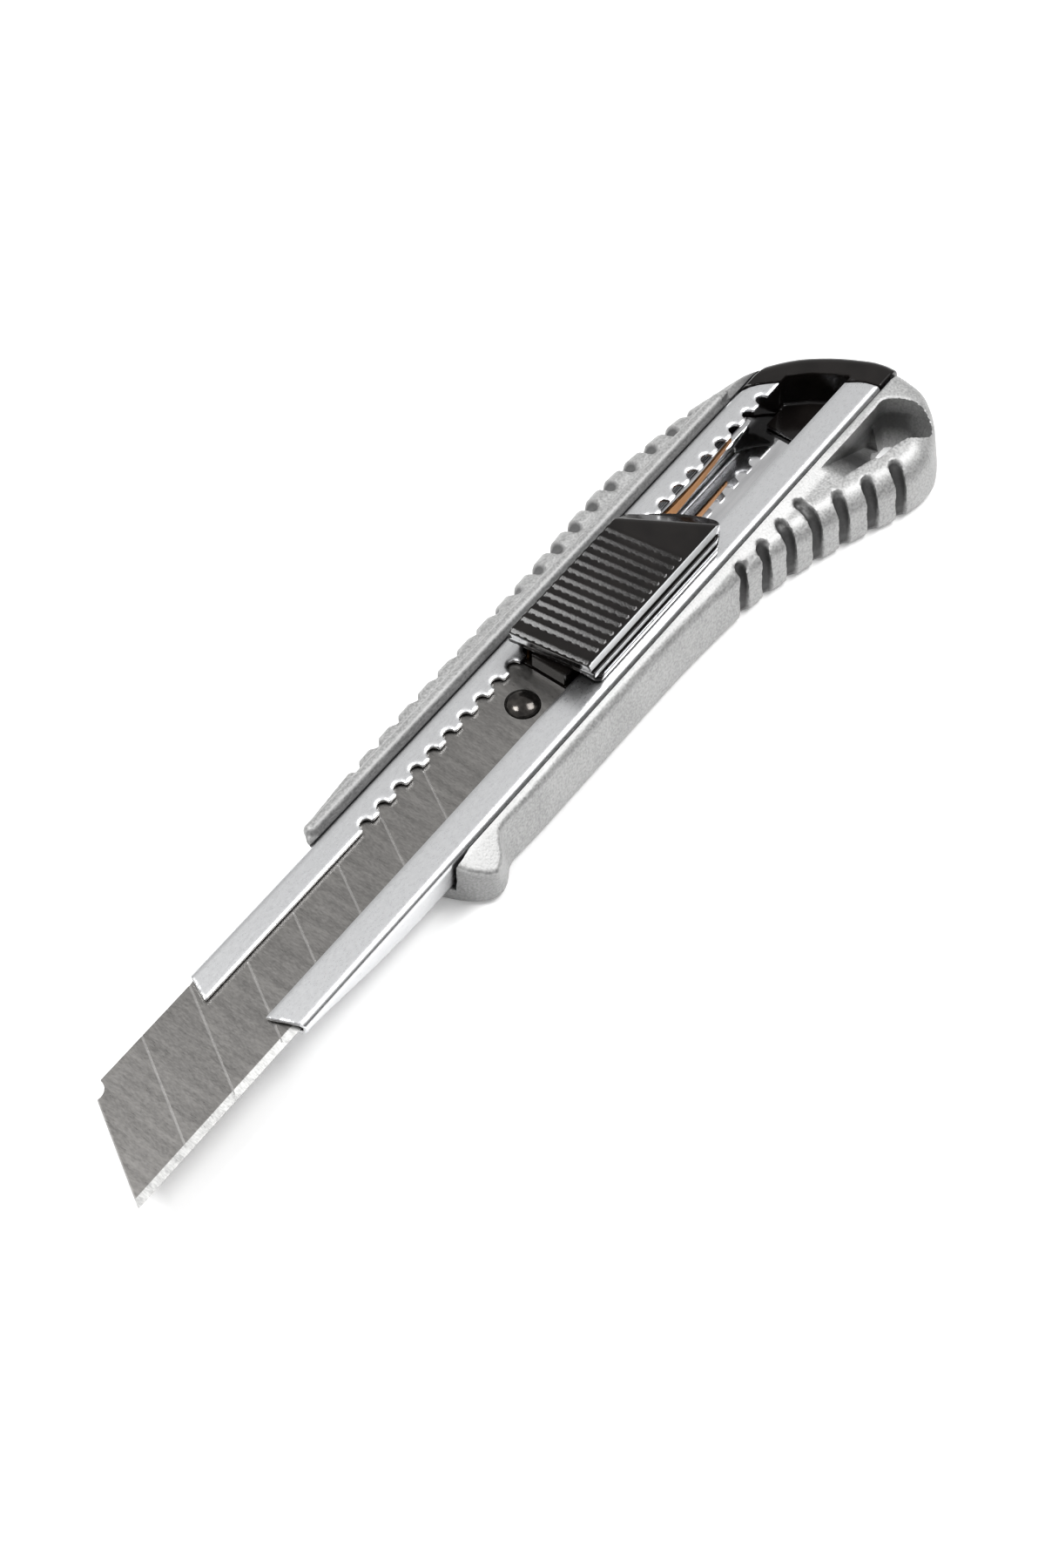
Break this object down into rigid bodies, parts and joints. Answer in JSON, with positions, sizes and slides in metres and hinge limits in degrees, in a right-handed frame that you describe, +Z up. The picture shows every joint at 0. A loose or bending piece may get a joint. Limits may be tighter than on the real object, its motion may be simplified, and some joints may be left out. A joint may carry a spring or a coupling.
{
  "type": "utility knife",
  "caption": "Snap-off utility knife with a die-cast handle, toothed steel channel, ribbed thumb slider, segmented blade and plug-in end cap.",
  "frame": {"origin": "centre of the knife's box in X and Y, on the surface the flat back lies on, with the blade drawn out as in the rest pose", "axes": "+X along the knife towards the blade's point, +Y towards the cutting edge, +Z up out of the slider side"},
  "size_m": [0.2014, 0.0442, 0.0176],
  "materials": {
    "cast_alloy": "fine-grained die-cast alloy, satin",
    "sheet_steel": "satin stainless sheet, polished inside",
    "blade_steel": "ground carbon steel, bright bevel",
    "black_plastic": "moulded black plastic, semi-matt",
    "bronze": "bright phosphor bronze strip",
    "dark_steel": "blackened steel, polished dome"
  },
  "bodies": {
    "handle": {"handle_body": "cast_alloy", "blade_channel": "sheet_steel", "channel_rivet_front": "sheet_steel", "channel_rivet_rear": "sheet_steel", "side_spring": "bronze", "side_spring_rivet": "dark_steel"},
    "slider": {"snap_blade": "blade_steel", "blade_carrier": "black_plastic", "blade_stud": "dark_steel", "lock_spring": "bronze", "slider_base": "black_plastic", "slider_pad": "black_plastic"},
    "end_cap": {"end_cap": "black_plastic"}
  },
  "joints": [
    {"name": "slider_slide", "type": "slide", "parent": "handle", "child": "slider", "axis": [1, 0, 0], "range_m": [-0.03825, 0.0425], "deforming": ["lock_spring"]},
    {"name": "end_cap_pull", "type": "slide", "parent": "handle", "child": "end_cap", "axis": [-1, 0, 0], "range_m": [0, 0.03]}
  ]
}
